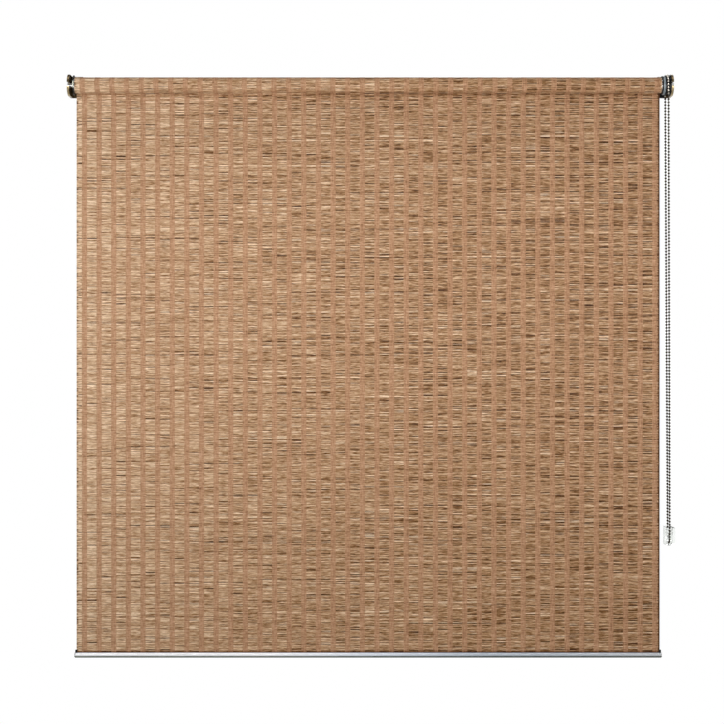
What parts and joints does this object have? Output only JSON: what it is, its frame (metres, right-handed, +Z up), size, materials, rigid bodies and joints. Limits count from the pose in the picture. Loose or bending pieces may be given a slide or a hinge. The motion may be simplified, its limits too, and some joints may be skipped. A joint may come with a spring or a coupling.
{
  "type": "roller blind",
  "caption": "Chain-operated roller blind: a woven bamboo-look sheet on a tube between wall brackets, with a bead chain, its clear wall holder and a weighted bottom bar.",
  "frame": {"origin": "on the wall, midway between the brackets' screws, level with the roller's axis", "axes": "+X to the viewer's right along the roller, +Y into the wall, +Z up"},
  "size_m": [1.1856, 0.0503, 1.1427],
  "materials": {
    "nickel": "satin nickel plate",
    "fabric": "woven slub yarn, matt",
    "tube": "satin",
    "white_plastic": "matt",
    "black_plastic": "matt",
    "grey_plastic": "matt",
    "steel": "bright",
    "spring_steel": "dark",
    "chain_steel": "bright",
    "clear_plastic": "clear",
    "bar_silver": "satin silver",
    "cap_plastic": "satin silver"
  },
  "bodies": {
    "wall_fittings": {"bracket_left": "nickel", "bracket_right": "nickel", "idler_pin": "steel", "retaining_clips": "spring_steel", "clutch_core": "white_plastic", "clutch_cover": "black_plastic", "bead_chain": "chain_steel", "tensioner_housing": "clear_plastic"},
    "roller": {"roller_tube": "tube", "tube_spline": "white_plastic", "fabric_roll": "fabric", "idler_plug": "black_plastic", "tube_adapter": "black_plastic", "drive_hub": "grey_plastic"},
    "wheel": {"chain_wheel": "black_plastic", "clutch_spring": "spring_steel"},
    "bar": {"fabric_sheet": "fabric", "bottom_bar": "bar_silver", "bar_spline": "white_plastic", "bar_caps": "cap_plastic"}
  },
  "joints": [
    {"name": "roller_turn", "type": "hinge", "parent": "wall_fittings", "child": "roller", "pos_m": [0, -0.029, 0], "axis": [1, 0, 0], "range_deg": [0, 3294]},
    {"name": "chain_wheel_turn", "type": "hinge", "parent": "wall_fittings", "child": "wheel", "pos_m": [0, -0.029, 0], "axis": [1, 0, 0], "range_deg": [0, 3294], "deforming": ["bead_chain"]},
    {"name": "bar_lift", "type": "slide", "parent": "wall_fittings", "child": "bar", "axis": [0, 0, 1], "range_m": [0, 1.08], "deforming": ["fabric_sheet"]}
  ],
  "couplings": [
    {"joint": "chain_wheel_turn", "follows": "roller_turn", "ratio": 1},
    {"joint": "bar_lift", "follows": "roller_turn", "m_per_rad": 0.01878}
  ]
}
